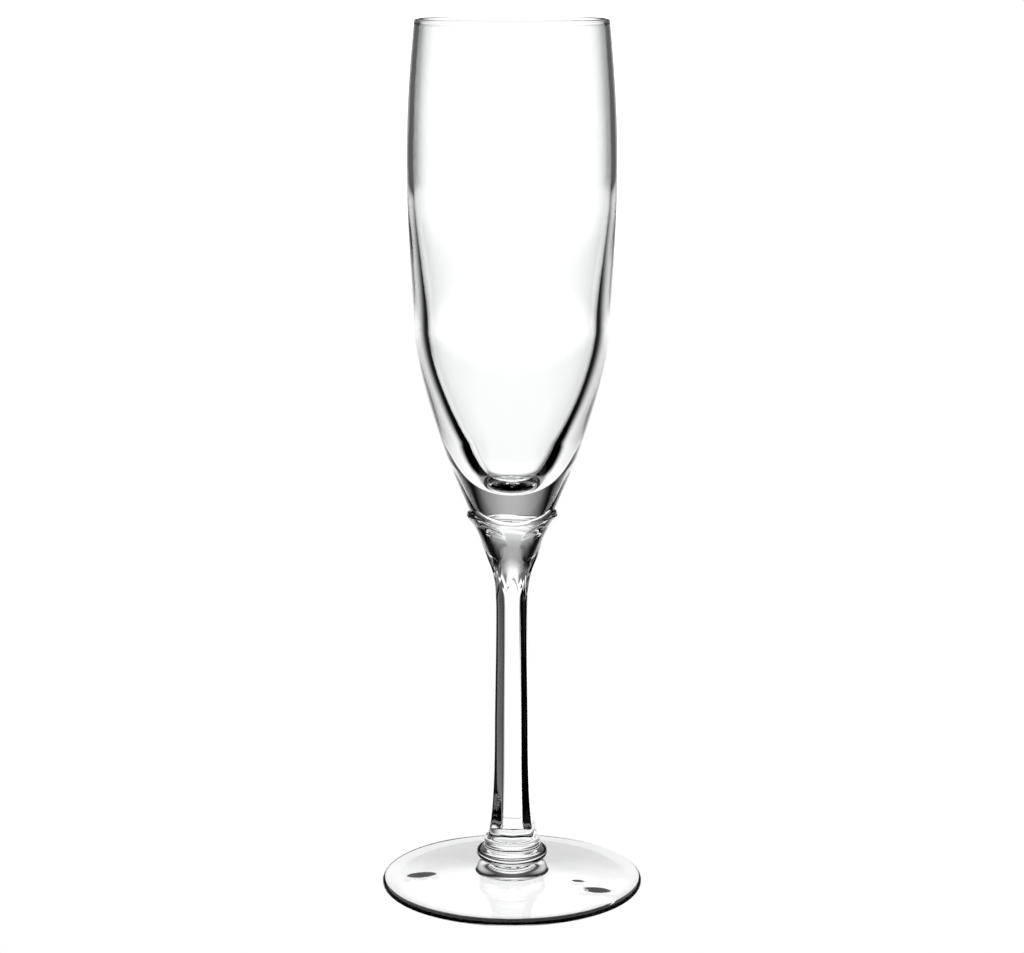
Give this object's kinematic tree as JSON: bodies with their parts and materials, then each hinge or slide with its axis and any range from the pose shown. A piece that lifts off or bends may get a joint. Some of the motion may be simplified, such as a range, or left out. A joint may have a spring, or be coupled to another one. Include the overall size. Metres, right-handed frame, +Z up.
{
  "type": "champagne flute",
  "caption": "Clear glass champagne flute: tall barrel-shaped bowl with a heavy base, held in a petal calyx on a faceted stem, with a round collar and a domed disc foot.",
  "frame": {"origin": "centre of the foot's underside, on the surface that the glass stands on", "axes": "+Z up along the glass's axis, -Y towards the front"},
  "size_m": [0.0674, 0.0674, 0.222],
  "materials": {
    "blown_glass": "clear, fire-polished, thin and slightly wavy",
    "pressed_glass": "clear, solid, pressed and fire-polished",
    "foot_glass": "clear, spun flat, with faint ripples"
  },
  "bodies": {
    "root": {"bowl": "blown_glass", "calyx": "pressed_glass", "stem": "pressed_glass", "collar": "pressed_glass", "foot": "foot_glass"}
  },
  "joints": []
}
